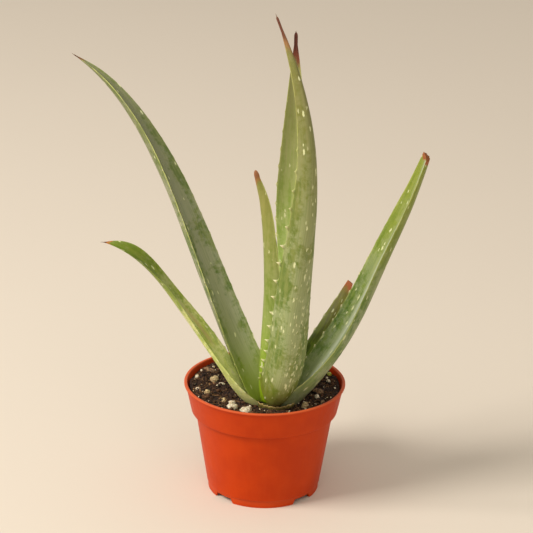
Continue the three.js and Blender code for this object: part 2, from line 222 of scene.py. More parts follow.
def mesh_object(name, points, faces, material, values=None, corner_uv=None, crease=None):
    """A mesh at the origin from points in millimetres from the pot's axis. faces is a list of index
    arrays, each with its own number of corners. values holds one number per point under each name."""
    mesh = bpy.data.meshes.new(name)
    corners = np.concatenate([part.ravel() for part in faces])
    sizes = np.concatenate([np.full(len(part), part.shape[1]) for part in faces])
    mesh.vertices.add(len(points))
    mesh.vertices.foreach_set("co", (points * MM + pot_axis).astype(np.float32).ravel())
    mesh.loops.add(len(corners))
    mesh.loops.foreach_set("vertex_index", corners.astype(np.int32))
    mesh.polygons.add(len(sizes))
    mesh.polygons.foreach_set("loop_start", (np.cumsum(sizes) - sizes).astype(np.int32))
    mesh.update(calc_edges=True)
    for key, numbers in (values or {}).items():
        layer = mesh.attributes.new(key, "FLOAT", "POINT")
        layer.data.foreach_set("value", np.asarray(numbers, np.float32).ravel())
    if corner_uv is not None:
        layer = mesh.uv_layers.new(name="blade")
        layer.uv.foreach_set("vector", np.concatenate(corner_uv).astype(np.float32).ravel())
    mesh.shade_smooth()
    if crease is not None:
        mesh.set_sharp_from_angle(angle=np.radians(crease))
    if signed_volume(points, faces) < 0:
        mesh.flip_normals()
    mesh.materials.append(material)
    piece = bpy.data.objects.new(name, mesh)
    bpy.context.scene.collection.objects.link(piece)
    return piece


def signed_volume(points, faces):
    """The sum of the tetrahedra from the origin to a fan over each face: over 0 if faces point out."""
    total = 0.0
    for part in faces:
        for k in range(1, part.shape[1] - 1):
            a, b, c = points[part[:, 0]], points[part[:, k]], points[part[:, k + 1]]
            total += np.einsum("ij,ij->i", a, np.cross(b, c)).sum()
    return total


def ring_faces(rows, columns):
    """The faces of rows rings of columns points each, then a pole before the first and one after the
    last: quads between rings and a fan of triangles at each pole."""
    i, j = np.meshgrid(np.arange(rows - 1), np.arange(columns), indexing="ij")
    after = (j + 1) % columns
    near, far = i * columns, (i + 1) * columns
    quads = np.stack([near + j, near + after, far + after, far + j], -1)
    j = np.arange(columns)
    after = (j + 1) % columns
    first_pole = rows * columns
    start = np.stack([after, j, np.full(columns, first_pole)], -1)
    last = (rows - 1) * columns
    end = np.stack([last + j, last + after, np.full(columns, first_pole + 1)], -1)
    return [quads.reshape(-1, 4), start, end]


def with_poles(rings):
    """Rings of points or of numbers with the mean of the first ring and of the last ring added."""
    flat = rings.reshape(-1, *rings.shape[2:])
    return np.concatenate([flat, rings[0].mean(0)[None], rings[-1].mean(0)[None]])


def finish_piece(piece, stands_for=()):
    """Rides a piece on the part's one body and hides the nodes that it stands for."""
    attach(piece, "root")
    for node in stands_for:
        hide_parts(node)
    return piece


# ------------------------------------------------------------------ node trees


def colour(red, green, blue):
    """A colour given as it looks on a screen, from 0 to 255, as the linear one that nodes use."""
    screen = np.array([red, green, blue]) / 255
    linear = np.where(screen <= 0.04045, screen / 12.92, ((screen + 0.055) / 1.055) ** 2.4)
    return (*linear.tolist(), 1.0)


def feed(tree, node, inputs):
    """Sets a node's inputs, by name or place, to numbers and colours or links other nodes to them."""
    for key, value in inputs.items():
        if isinstance(value, bpy.types.NodeSocket):
            tree.links.new(value, node.inputs[key])
        else:
            node.inputs[key].default_value = value


def add(tree, kind, inputs=None, **settings):
    """Adds a node with its settings and its inputs."""
    node = tree.nodes.new("ShaderNode" + kind)
    for key, value in settings.items():
        setattr(node, key, value)
    feed(tree, node, inputs or {})
    return node


def maths(tree, operation, a, b=0.0, c=0.0):
    return add(tree, "Math", {0: a, 1: b, 2: c}, operation=operation).outputs[0]


def times(tree, a, b):
    return maths(tree, "MULTIPLY", a, b)


def times_plus(tree, a, b, c):
    return maths(tree, "MULTIPLY_ADD", a, b, c)


def between(tree, value, low, high, to_low=0.0, to_high=1.0):
    """Reads value from low..high as to_low..to_high along an S-curve."""
    inputs = {"Value": value, "From Min": low, "From Max": high, "To Min": to_low, "To Max": to_high}
    return add(tree, "MapRange", inputs, interpolation_type="SMOOTHSTEP").outputs[0]


def blend(tree, share, a, b):
    """Colour a where share is 0 and colour b where it is 1."""
    return add(tree, "Mix", {0: share, 6: a, 7: b}, data_type="RGBA").outputs[2]


def attribute(tree, name):
    return add(tree, "Attribute", attribute_name=name).outputs["Fac"]


def noise(tree, place, scale, detail=3.0, roughness=0.55, distortion=0.0):
    inputs = {"Vector": place, "Scale": scale, "Detail": detail, "Roughness": roughness}
    return add(tree, "TexNoise", {**inputs, "Distortion": distortion}).outputs[0]


def new_group(name, inputs, outputs):
    """An empty shader node group. Returns its tree, its inputs' sockets and its outputs' node."""
    tree = bpy.data.node_groups.new(name, "ShaderNodeTree")
    for label, kind, value in inputs:
        socket = tree.interface.new_socket(label, in_out="INPUT", socket_type="NodeSocket" + kind)
        if value is not None:
            socket.default_value = value
    for label, kind in outputs:
        tree.interface.new_socket(label, in_out="OUTPUT", socket_type="NodeSocket" + kind)
    given = tree.nodes.new("NodeGroupInput").outputs
    return tree, given, tree.nodes.new("NodeGroupOutput").inputs


def use_group(tree, group, inputs):
    return add(tree, "Group", inputs, node_tree=group).outputs


def new_material(name, **shader):
    """A material with one Principled shader, whose plain numbers are set on its own sockets."""
    made = bpy.data.materials.new(name)
    made.use_nodes = True
    principled = made.node_tree.nodes["Principled BSDF"]
    for key, value in shader.items():
        principled.inputs[key.replace("_", " ")].default_value = value
    return made, made.node_tree


def dress(made, skin, rough, height, strength, distance):
    """Links a material's colour, its roughness and a bump, whose distance is in millimetres."""
    tree = made.node_tree
    relief = add(tree, "Bump", {"Height": height, "Strength": strength, "Distance": distance * MM})
    looks = {"Base Color": skin, "Roughness": rough, "Normal": relief.outputs[0]}
    feed(tree, tree.nodes["Principled BSDF"], looks)
    return made


def scaled(tree, place, factor):
    return add(tree, "VectorMath", {0: place, 3: factor}, operation="SCALE").outputs[0]


def object_place(tree):
    """The place on the piece in millimetres."""
    return scaled(tree, add(tree, "TexCoord").outputs["Object"], 1 / MM)


def stretched(tree, place, x, y, z):
    """A place with each of its three parts multiplied by a number or a node's value."""
    parts = add(tree, "SeparateXYZ", {0: place}).outputs
    sized = {k: times(tree, parts[k], factor) for k, factor in enumerate((x, y, z))}
    return add(tree, "CombineXYZ", sized).outputs[0]


# ------------------------------------------------------------------ effects shared by the finishes


def make_scattered_dashes():
    """Soft oval dashes strewn over a flat map: the near cells of a stretched cell pattern, kept where
    the cell's own random number is under the density, each with its own size."""
    inputs = [("Place", "Vector", None), ("Across", "Float", 3.0), ("Along", "Float", 8.0),
              ("Size", "Float", 0.3), ("Density", "Float", 0.5), ("Shift", "Float", 0.0)]
    tree, given, out = new_group("scattered_dashes", inputs, [("Mask", "Float")])
    wobble = {"Vector": given["Place"], "Scale": 0.5, "Detail": 1.0}
    wobble = scaled(tree, add(tree, "TexNoise", wobble).outputs["Color"], 1.2)
    place = add(tree, "VectorMath", {0: given["Place"], 1: wobble}, operation="ADD").outputs[0]
    parts = add(tree, "SeparateXYZ", {0: place}).outputs
    x = maths(tree, "DIVIDE", parts[0], given["Across"])
    y = maths(tree, "DIVIDE", parts[1], given["Along"])
    at = add(tree, "CombineXYZ", {0: x, 1: y, 2: given["Shift"]}).outputs[0]
    cells = add(tree, "TexVoronoi", {"Vector": at, "Scale": 1.0, "Randomness": 0.85})
    own = add(tree, "SeparateColor", {0: cells.outputs["Color"]}).outputs
    radius = times(tree, given["Size"], times_plus(tree, own[1], 0.8, 0.45))
    inner = times(tree, radius, 0.55)
    spot = between(tree, cells.outputs["Distance"], radius, inner)
    kept = maths(tree, "LESS_THAN", own[0], given["Density"])
    tree.links.new(times(tree, spot, kept), out["Mask"])
    return tree


def make_drawn_streaks():
    """Noise drawn out along a map's second direction: fine lines that run up a leaf or a fibre."""
    inputs = [("Place", "Vector", None), ("Across", "Float", 1.5), ("Along", "Float", 40.0)]
    tree, given, out = new_group("drawn_streaks", inputs, [("Value", "Float")])
    parts = add(tree, "SeparateXYZ", {0: given["Place"]}).outputs
    x = maths(tree, "DIVIDE", parts[0], given["Across"])
    y = maths(tree, "DIVIDE", parts[1], given["Along"])
    at = add(tree, "CombineXYZ", {0: x, 1: y, 2: parts[2]}).outputs[0]
    tree.links.new(noise(tree, at, 1.0, 3.0, 0.5), out["Value"])
    return tree


def make_fine_grain():
    """A small grain for bump and tone: coarse and fine noise added together."""
    inputs = [("Place", "Vector", None), ("Coarse", "Float", 0.5), ("Fine", "Float", 3.0)]
    tree, given, out = new_group("fine_grain", inputs, [("Value", "Float")])
    coarse = noise(tree, given["Place"], given["Coarse"], 4.0, 0.6)
    fine = noise(tree, given["Place"], given["Fine"], 3.0, 0.6)
    mixed = times_plus(tree, fine, 0.5, times(tree, coarse, 0.5))
    tree.links.new(mixed, out["Value"])
    return tree


scattered_dashes = make_scattered_dashes()
drawn_streaks = make_drawn_streaks()
fine_grain = make_fine_grain()


def make_aloe_skin():
    """The skin of a leaf: green with darker streaks towards the margins and a waxy bloom in the middle,
    pale dashes, pale margins and teeth, a foot in its own colour, a dried tip and, where asked for, a
    painted highlight along the hollow of the face. The foot is yellower on most leaves; on the small
    right leaf it is darker, and that darkening is painted shade."""
    inputs = [(label, "Color", None) for label in ("Green", "Deep", "Bloom", "Foot", "Tip", "Dry", "Scorch")]
    inputs += [("Dash", "Color", colour(222, 222, 170)), ("Margin", "Color", colour(200, 202, 120))]
    shares = {"Bloom Share": 0.5, "Middle Bloom": 0.5, "Deep Share": 0.5, "Few": 0.3, "Many": 0.0,
              "Foot Share": 1.0, "Channel Share": 0.0, "Tip Share": 0.8}
    inputs += [(label, "Float", share) for label, share in shares.items()]
    outputs = [("Color", "Color"), ("Roughness", "Float"), ("Height", "Float")]
    tree, given, out = new_group("aloe_skin", inputs, outputs)
    flat = add(tree, "UVMap", uv_map="blade").outputs[0]
    place = scaled(tree, flat, 1 / MM)
    solid = object_place(tree)

    streaks = use_group(tree, drawn_streaks, {"Place": place, "Across": 2.6, "Along": 24.0})[0]
    patches = use_group(tree, drawn_streaks, {"Place": place, "Across": 3.4, "Along": 9.0})[0]
    lines = use_group(tree, drawn_streaks, {"Place": place, "Across": 0.7, "Along": 30.0})[0]
    cloud = noise(tree, solid, 0.045, 3.0, 0.6)
    mottle = noise(tree, solid, 0.35, 4.0, 0.65)

    middle = times(tree, attribute(tree, "middle"), given["Middle Bloom"])
    deep = times_plus(tree, patches, 0.45, times(tree, streaks, 0.55))
    deep = between(tree, times_plus(tree, middle, -0.08, deep), 0.43, 0.55)
    skin = blend(tree, times(tree, deep, given["Deep Share"]), given["Green"], given["Deep"])
    bloom = times_plus(tree, mottle, 0.4, times(tree, cloud, 0.6))
    bloom = between(tree, times_plus(tree, middle, 0.14, bloom), 0.46, 0.60)
    skin = blend(tree, times(tree, bloom, given["Bloom Share"]), skin, given["Bloom"])
    towards_tip = times(tree, attribute(tree, "tipward"), given["Tip Share"])
    skin = blend(tree, towards_tip, skin, given["Tip"])
    fine = times(tree, between(tree, lines, 0.35, 0.75), 0.3)
    skin = blend(tree, fine, skin, given["Deep"])
    foot = times(tree, attribute(tree, "foot"), given["Foot Share"])
    skin = blend(tree, foot, skin, given["Foot"])
    # Painted highlight: the bottom of the face's hollow is lightened towards a pale grey-green.
    highlight_share = times(tree, attribute(tree, "channel"), given["Channel Share"])
    skin = blend(tree, highlight_share, skin, colour(196, 200, 182))

    crowd = times(tree, attribute(tree, "crowd"), given["Many"])
    many = {"Place": place, "Across": 1.45, "Along": 5.6, "Size": 0.34, "Density": crowd, "Shift": 3.3}
    few = {"Place": place, "Across": 2.7, "Along": 7.5, "Size": 0.31, "Density": given["Few"], "Shift": 8.1}
    dashes = maths(tree, "MAXIMUM", use_group(tree, scattered_dashes, many)[0],
                   use_group(tree, scattered_dashes, few)[0])
    skin = blend(tree, times(tree, dashes, 0.8), skin, given["Dash"])
    scar = times(tree, attribute(tree, "scar"), between(tree, mottle, 0.25, 0.4))
    skin = blend(tree, scar, skin, colour(198, 182, 118))

    broken = between(tree, patches, 0.42, 0.56, 0.3, 1.0)
    skin = blend(tree, times(tree, attribute(tree, "rim"), broken), skin, given["Margin"])
    skin = blend(tree, attribute(tree, "tooth"), skin, colour(236, 226, 180))
    dry = attribute(tree, "dry")
    withered = between(tree, times_plus(tree, lines, 0.5, dry), 0.9, 1.3)
    withered = blend(tree, withered, given["Dry"], given["Scorch"])
    skin = blend(tree, between(tree, times_plus(tree, mottle, 0.35, dry), 0.2, 0.85), skin, withered)
    tree.links.new(skin, out["Color"])

    rough = between(tree, mottle, 0.3, 0.7, 0.36, 0.5)
    rough = maths(tree, "ADD", rough, times(tree, dry, 0.3))
    tree.links.new(rough, out["Roughness"])
    height = times_plus(tree, lines, 0.6, times(tree, mottle, 0.5))
    height = maths(tree, "ADD", height, times(tree, dashes, 0.35))
    height = maths(tree, "ADD", height, times(tree, times(tree, dry, lines), 2.5))
    tree.links.new(height, out["Height"])
    return tree


aloe_skin = make_aloe_skin()

# ------------------------------------------------------------------ finishes


def leaf_material(name, **looks):
    """A fleshy leaf skin. looks are the aloe_skin group's own inputs, with _ for a space, and their
    colours as on a screen."""
    made, tree = new_material(
        name, Subsurface_Weight=0.10, Subsurface_Radius=(1.0, 1.2, 0.35), Subsurface_Scale=0.0015,
        Specular_IOR_Level=0.45, IOR=1.42,
    )
    given = {key.replace("_", " "): colour(*value) if isinstance(value, tuple) else value
             for key, value in looks.items()}
    skin = use_group(tree, aloe_skin, given)
    return dress(made, skin["Color"], skin["Roughness"], skin["Height"], 0.35, 0.35)


# Each leaf's colours on a screen, how far they go, and how thick its few and its many dashes lie.
leaf_materials = {
    "leaf_left_low": leaf_material(
        "low_leaf_skin", Green=(184, 196, 70), Deep=(100, 138, 12), Bloom=(240, 236, 170),
        Foot=(236, 240, 160), Tip=(88, 102, 4), Dry=(176, 100, 40),
        Scorch=(60, 36, 18), Bloom_Share=0.85, Middle_Bloom=0.3, Deep_Share=0.75, Few=0.7,
        Foot_Share=0.8, Tip_Share=0.9,
    ),
    # This leaf's Foot colour is darker than its green: painted shade where its base lies behind the right
    # leaf.
    "leaf_right_small": leaf_material(
        "small_leaf_skin", Green=(96, 122, 8), Deep=(44, 74, 2), Bloom=(132, 146, 44),
        Foot=(40, 66, 1), Tip=(152, 128, 40), Dry=(146, 116, 50),
        Scorch=(178, 96, 56), Bloom_Share=0.2, Middle_Bloom=0.2, Deep_Share=0.9, Few=0.4,
        Foot_Share=0.9, Tip_Share=0.55,
    ),
    # The right leaf has a painted highlight along the hollow of its face.
    "leaf_right": leaf_material(
        "right_leaf_skin", Green=(118, 138, 62), Deep=(64, 102, 20), Bloom=(168, 172, 138),
        Foot=(168, 172, 124), Tip=(140, 146, 46), Dry=(150, 84, 40),
        Scorch=(156, 92, 50), Bloom_Share=0.6, Middle_Bloom=0.8, Deep_Share=0.9, Few=0.55,
        Foot_Share=0.6, Tip_Share=0.8, Channel_Share=0.75,
    ),
    "leaf_front": leaf_material(
        "front_leaf_skin", Green=(126, 136, 66), Deep=(80, 108, 22), Bloom=(164, 170, 122),
        Foot=(120, 122, 30), Tip=(122, 112, 54), Dry=(142, 100, 56),
        Scorch=(96, 50, 32), Bloom_Share=0.75, Middle_Bloom=0.7, Deep_Share=0.7, Few=0.5,
        Many=0.95, Tip_Share=0.85,
    ),
    "leaf_left_tall": leaf_material(
        "tall_leaf_skin", Green=(134, 142, 86), Deep=(80, 106, 34), Bloom=(164, 164, 134),
        Foot=(150, 166, 54), Tip=(104, 106, 60), Dry=(120, 80, 44),
        Scorch=(84, 48, 28), Bloom_Share=0.8, Middle_Bloom=1.0, Deep_Share=0.9, Few=0.28,
        Tip_Share=0.7,
    ),
    "leaf_back_tall": leaf_material(
        "back_leaf_skin", Green=(176, 190, 112), Deep=(136, 166, 62), Bloom=(196, 202, 140),
        Foot=(130, 150, 54), Tip=(142, 132, 82), Dry=(126, 66, 44),
        Scorch=(88, 44, 32), Bloom_Share=0.4, Deep_Share=0.8, Few=0.25, Tip_Share=0.8,
    ),
    "leaf_inner_short": leaf_material(
        "young_leaf_skin", Green=(138, 150, 84), Deep=(98, 124, 40), Bloom=(160, 164, 112),
        Foot=(150, 178, 24), Tip=(146, 136, 66), Dry=(164, 118, 66),
        Scorch=(150, 98, 64), Bloom_Share=0.6, Deep_Share=0.8, Few=0.5, Tip_Share=0.75,
    ),
}


def moulded_plastic():
    """Satin terracotta-coloured polypropylene: faint cloudy flow, dust, a fine moulded grain and a
    painted highlight along the top of the lip and the foot's ledge.
    """
    made, tree = new_material("terracotta_plastic", IOR=1.49, Specular_IOR_Level=0.14)
    place = object_place(tree)
    cloud = noise(tree, place, 0.05, 3.0, 0.5)
    flow = noise(tree, stretched(tree, place, 1, 1, 0.06), 0.35, 3.0, 0.5)
    grain = use_group(tree, fine_grain, {"Place": place, "Coarse": 0.6, "Fine": 4.0})[0]
    skin = blend(tree, between(tree, cloud, 0.35, 0.65), colour(194, 60, 2), colour(186, 55, 2))
    skin = blend(tree, times(tree, between(tree, flow, 0.45, 0.7), 0.12), skin, colour(200, 76, 26))
    # Painted highlight: the top of the lip and the foot's ledge are lightened to a pale salmon.
    edge_highlight = times(tree, attribute(tree, "edge"), 0.35)
    skin = blend(tree, edge_highlight, skin, colour(222, 124, 78))
    dusty = between(tree, noise(tree, place, 0.9, 5.0, 0.75), 0.68, 0.8, 0.0, 0.3)
    skin = blend(tree, dusty, skin, colour(214, 130, 92))
    uneven = times_plus(tree, flow, 0.5, times(tree, grain, 0.5))
    rough = between(tree, uneven, 0.3, 0.7, 0.4, 0.56)
    return dress(made, skin, rough, grain, 0.25, 0.12)


def dark_soil():
    """Damp peat: near black and dark brown crumbs with lighter fibres."""
    made, tree = new_material("peat_soil", Specular_IOR_Level=0.3)
    place = object_place(tree)
    coarse = noise(tree, place, 0.28, 5.0, 0.7)
    fine = noise(tree, place, 1.3, 5.0, 0.75)
    drawn = noise(tree, place, 0.5, 2.0, 0.5, 2.5)
    skin = blend(tree, between(tree, coarse, 0.35, 0.65), colour(20, 11, 6), colour(62, 38, 22))
    skin = blend(tree, between(tree, fine, 0.5, 0.72, 0.0, 0.75), skin, colour(84, 56, 34))
    skin = blend(tree, between(tree, drawn, 0.66, 0.74, 0.0, 0.6), skin, colour(120, 88, 54))
    height = times_plus(tree, fine, 0.6, coarse)
    rough = between(tree, fine, 0.3, 0.7, 0.95, 0.7)
    return dress(made, skin, rough, height, 0.9, 0.8)


def toned_crumb(name, dark, pale, rough, grain_size):
    """Small stuff whose tone differs from bit to bit, by the piece's own tone attribute."""
    made, tree = new_material(name, Specular_IOR_Level=0.3)
    place = object_place(tree)
    grain = use_group(tree, fine_grain, {"Place": place, "Coarse": grain_size, "Fine": grain_size * 4})[0]
    share = times_plus(tree, grain, 0.5, maths(tree, "SUBTRACT", attribute(tree, "tone"), 0.25))
    skin = blend(tree, between(tree, share, 0.0, 1.0), dark, pale)
    rough = between(tree, grain, 0.3, 0.7, rough, rough - 0.2)
    return dress(made, skin, rough, grain, 0.7, 0.3)


def pitted_stone(name, pale, dark, stain, stain_share):
    """Expanded perlite: chalky, pitted, with peat stain in its hollows."""
    made, tree = new_material(name, Subsurface_Weight=0.1, Subsurface_Scale=0.001)
    place = object_place(tree)
    pits = add(tree, "TexVoronoi", {"Vector": place, "Scale": 1.5, "Randomness": 1.0}).outputs["Distance"]
    rough = noise(tree, place, 0.8, 5.0, 0.7)
    skin = blend(tree, between(tree, rough, 0.35, 0.65), colour(*dark), colour(*pale))
    soiled = times(tree, between(tree, rough, 0.62, 0.42), stain_share)
    skin = blend(tree, soiled, skin, colour(*stain))
    height = times_plus(tree, rough, 0.8, between(tree, pits, 0.0, 0.45))
    rough = between(tree, pits, 0.0, 0.6, 0.95, 0.75)
    return dress(made, skin, rough, height, 0.8, 0.5)


def papery_scale():
    """The dried foot of an old leaf: olive where it still lies close, tan and fibrous at its edge."""
    made, tree = new_material("dried_scale", Specular_IOR_Level=0.35)
    place = object_place(tree)
    fibres = noise(tree, stretched(tree, place, 1, 1, 0.15), 1.6, 3.0, 0.6)
    skin = blend(tree, between(tree, fibres, 0.35, 0.65), colour(86, 78, 24), colour(116, 104, 44))
    skin = blend(tree, attribute(tree, "edge"), skin, colour(186, 162, 98))
    rough = between(tree, fibres, 0.3, 0.7, 0.55, 0.75)
    return dress(made, skin, rough, fibres, 0.5, 0.4)


def stem_flesh():
    """The pale ringed stump that the leaves grow from."""
    made, tree = new_material("stem_flesh", Subsurface_Weight=0.1, Subsurface_Scale=0.001)
    place = object_place(tree)
    bands = noise(tree, stretched(tree, place, 0.2, 0.2, 1), 1.1, 3.0, 0.6)
    skin = blend(tree, between(tree, bands, 0.35, 0.65), colour(132, 134, 62), colour(170, 164, 96))
    rough = between(tree, bands, 0.3, 0.7, 0.6, 0.8)
    return dress(made, skin, rough, bands, 0.5, 0.4)


def coated_feed():
    """A resin-coated feed bead: waxy yellow-green with a darker blush."""
    made, tree = new_material("coated_feed", Subsurface_Weight=0.2, Subsurface_Scale=0.001,
                              Coat_Weight=0.2)
    place = object_place(tree)
    blush = noise(tree, place, 0.6, 3.0, 0.6)
    skin = blend(tree, between(tree, blush, 0.4, 0.62), colour(150, 154, 34), colour(196, 196, 70))
    rough = between(tree, blush, 0.3, 0.7, 0.35, 0.55)
    return dress(made, skin, rough, blush, 0.3, 0.2)


def plain_floor():
    """A plain matt studio floor, very slightly cloudy."""
    made, tree = new_material("studio_floor", Specular_IOR_Level=0.1, Roughness=0.95)
    cloud = noise(tree, add(tree, "TexCoord").outputs["Object"], 1.2, 2.0, 0.5)
    skin = blend(tree, cloud, colour(220, 208, 191), colour(216, 204, 187))
    feed(tree, tree.nodes["Principled BSDF"], {"Base Color": skin})
    return made


# ------------------------------------------------------------------ leaves


def walk_midrib(leaf, stations):
    """The midrib walked in equal steps, each along the rise and heading read at its start, and past
    the tip for the withered thread, which droops. Returns points and the three directions there."""
    step = leaf["length"] / walk_steps
    beyond = int(np.ceil((leaf["thread"] + 1) / step)) + 1
    share = np.arange(walk_steps + beyond + 1) / walk_steps
    past = np.maximum(share - 1, 0) * leaf["length"]
    rise = np.radians(read_along(leaf["rise"], share)) - past * thread_droop
    heading = np.radians(read_along(leaf["heading"], share))
    twist = np.radians(read_along(leaf["twist"], share))[:, None]
    flat = np.stack([np.cos(heading), np.sin(heading), np.zeros_like(heading)], -1)
    upward = np.array([0.0, 0.0, 1.0])
    along = flat * np.cos(rise)[:, None] + upward * np.sin(rise)[:, None]
    face = -flat * np.sin(rise)[:, None] + upward * np.cos(rise)[:, None]
    across = np.cross(face, along)
    cosine, sine = np.cos(twist), np.sin(twist)
    face, across = face * cosine + across * sine, across * cosine - face * sine
    start = np.radians(leaf["around"])
    ring = leaf["ring"] * np.array([np.cos(start), np.sin(start), 0.0])
    root = crown + ring + np.array([0.0, 0.0, soil_level - leaf["root"]])
    points = root + np.concatenate([np.zeros((1, 3)), np.cumsum(along[:-1] * step, axis=0)])
    at = share * leaf["length"]

    def read(rows):
        return np.stack([np.interp(stations, at, rows[:, k]) for k in range(3)], -1)

    def unit(rows):
        rows = read(rows)
        return rows / np.linalg.norm(rows, axis=1, keepdims=True)

    return read(points), unit(along), unit(face), unit(across)


def tooth_places(leaf, seed):
    """Distances along a margin: steps that are short at the foot and even out, with a little chance."""
    random = np.random.default_rng(seed)
    end = leaf["length"] * leaf["tooth_end"]
    places = [first_tooth + random.uniform(0, 3)]
    while places[-1] < end:
        even = 1 - (1 - crowded_spacing) * np.exp(-places[-1] / crowded_length)
        places.append(places[-1] + tooth_spacing * even * random.uniform(0.88, 1.12))
    return np.array(places[:-1])


def tooth_profile(leaf, stations, places, seed):
    """How far a margin stands out at each distance: a thorn with hollow flanks at each place, which
    is full size in the middle of the leaf and small at its foot and towards its tip."""
    random = np.random.default_rng(seed)
    share = places / leaf["length"]
    end = leaf["tooth_end"]
    full = smooth(-0.04, 0.12, share) * (1 - smooth(0.55 * end, end * 1.05, share))
    heights = leaf["tooth"] * (0.25 + 0.75 * full) * random.uniform(0.8, 1.15, len(places))
    near = np.clip(1 - np.abs(stations[:, None] - places) / tooth_base, 0, 1) ** 1.7
    return (near * heights).max(1)


def leaf_stations(leaf, places):
    """Distances along a leaf, a millimetre apart, with nine more over the foot of each tooth."""
    even = np.arange(0, leaf["length"], 1.0)
    local = (places[:, None] + tooth_base * np.linspace(-1, 1, 9)).ravel()
    thread = leaf["length"] + np.arange(0, leaf["thread"] + 0.01, 0.5)
    end = leaf["length"] - blunt_share * leaf["tip"] * (1 - np.sin(np.linspace(0, 0.5, 10) * np.pi))
    all_stations = np.unique(np.concatenate([even, local, thread, end]).round(3))
    kept = all_stations[np.concatenate([[True], np.diff(all_stations) > 0.12])]
    return kept[kept >= 0]


def blunt_end(leaf, stations):
    """1 along a leaf and a quarter of an ellipse down to 0 at a whole tip."""
    if leaf["slant"]:
        return np.ones_like(stations)
    length = blunt_share * leaf["tip"]
    t = np.clip((stations - leaf["length"] + length) / length, 0, 1)
    return np.sqrt(1 - t**2)


def build_leaf(name, seed):
    """A crescent carried along the midrib: the back is half an ellipse, the face is nearly flat, and
    both bend up by dish times the square of the way out. Margins, thickness and surface wander a
    little, the margins carry teeth, and a cut tip is slanted."""
    leaf = leaves[name]
    places = [tooth_places(leaf, seed), tooth_places(leaf, seed + 1)]
    stations = leaf_stations(leaf, np.concatenate(places))
    centre, along, face, across = walk_midrib(leaf, stations)
    share = np.minimum(stations / leaf["length"], 1)
    whole = share * (1 - leaf["missing_tip"])
    foot = 1 - foot_narrowing * np.exp(-stations / foot_length)
    wander = 1 + 0.018 * value_noise(along_x(stations), 17, seed + 2)
    blunt = blunt_end(leaf, stations)
    half = np.maximum(leaf["half_width"] * (1 - whole ** leaf["taper"]) * foot * wander, leaf["tip"])
    half = np.maximum(half * blunt, thread_half)
    back = np.maximum(leaf["thickness"] * foot * (1 - whole**1.6) ** 0.8, leaf["tip"])
    back = np.maximum(back * blunt, thread_half)
    past = np.clip((stations - leaf["length"]) / max(leaf["thread"], 1), 0, 1)
    half = half * (1 - thread_thinning * past)
    back = back * (1 - thread_thinning * past)
    dish = leaf["dish"] + (clasp - leaf["dish"]) * np.exp(-share / clasp_reach)

    turn = angles(around_points)
    turn = turn - margin_draw * np.sin(2 * turn)
    half, back, dish = half[:, None], back[:, None], dish[:, None]
    x = half * np.cos(turn)
    rib = np.where(np.sin(turn) < 0, back, back * face_share) * np.sin(turn)
    y = dish * x**2 / half + rib
    flat_place = np.stack([x * 0.9, stations[:, None] * 0.12 + 0 * x, np.sign(np.sin(turn)) * 9 + 0 * x], -1)
    y = y + np.sign(np.sin(turn)) * np.minimum(back, 2) * 0.07 * rough_noise(flat_place, 3.0, seed + 3, 2)

    tooth = np.zeros_like(x)
    rim = np.zeros_like(x)
    for side, spots, pale, full in zip((1, -1), places, leaf["margins"], leaf["teeth"]):
        reach = np.hypot(x - side * half, y - dish * half)
        stands = full * tooth_profile(leaf, stations, spots, seed + 4 + side)[:, None]
        tooth += side * stands * np.clip(1 - reach / tooth_spread, 0, 1) ** 1.3
        rim = np.maximum(rim, pale * np.exp(-((reach / rim_half) ** 2)))
    rim = rim * smooth(leaf["length"] * 1.02, leaf["length"] * 0.9, stations)[:, None]

    cut = leaf["slant"] * smooth(leaf["length"] - cut_reach, leaf["length"], stations)[:, None]
    cut = cut * x / half.min()
    if leaf["slant"]:
        torn = value_noise(along_x(x * 2.2), 1, seed + 8)
        cut = cut + 0.35 * torn * (share[:, None] > 0.995)
    rings = (
        centre[:, None]
        + across[:, None] * (x + tooth)[..., None]
        + face[:, None] * (y + 0.12 * np.abs(tooth))[..., None]
        + along[:, None] * (cut + tooth_lean * np.abs(tooth))[..., None]
    )

    ragged = 3.0 * value_noise(np.stack([x * 0.6, stations[:, None] * 0.1 + 0 * x, 0 * x], -1), 1, seed + 9)
    dry = smooth(leaf["length"] - leaf["dry"] * 1.25, leaf["length"] - leaf["dry"] * 0.3,
                 stations[:, None] + ragged * min(leaf["dry"] / 10, 1))
    values = {
        "rim": with_poles(rim),
        "tooth": with_poles(smooth(0.15, 0.7, np.abs(tooth) / leaf["tooth"])),
        "dry": with_poles(dry),
        "foot": with_poles(np.exp(-((share[:, None] / leaf["yellowing"]) ** 1.5)) + 0 * x),
        "tipward": with_poles(smooth(0.25, 0.95, share[:, None]) + 0 * x),
        "crowd": with_poles(crowding(leaf, stations[:, None], x / half, np.sin(turn))),
        "middle": with_poles(np.exp(-((x / half / 0.5) ** 2)) + 0 * x),
        "channel": with_poles(channel(stations[:, None], x, np.sin(turn))),
        "scar": with_poles(scarring(name, share[:, None], x / half, np.sin(turn))),
    }
    rows = len(stations)
    piece = mesh_object(name + "_blade", with_poles(rings), ring_faces(rows, around_points),
                        leaf_materials[name], values, blade_map(x, y, stations))
    return finish_piece(piece, [name])


def crowding(leaf, stations, out, side):
    """Where dashes crowd, from 0 to 1: in the lower half, on one half of the back, and thinly on
    that half further up."""
    share = stations / leaf["length"]
    low = smooth(0.5, 0.25, share) * 0.75 + smooth(0.85, 0.7, share) * 0.25
    return low * smooth(0.03, 0.08, share) * smooth(-0.35, 0.15, out) * (side < 0)


def channel(stations, x, side):
    """A painted highlight along the hollow of a leaf's face: a soft band, about two millimetres wide,
    that wanders."""
    drift = 0.8 * value_noise(along_x(stations), 40, 7)
    return np.exp(-(((x - drift) / 1.3) ** 2)) * (side >= 0)


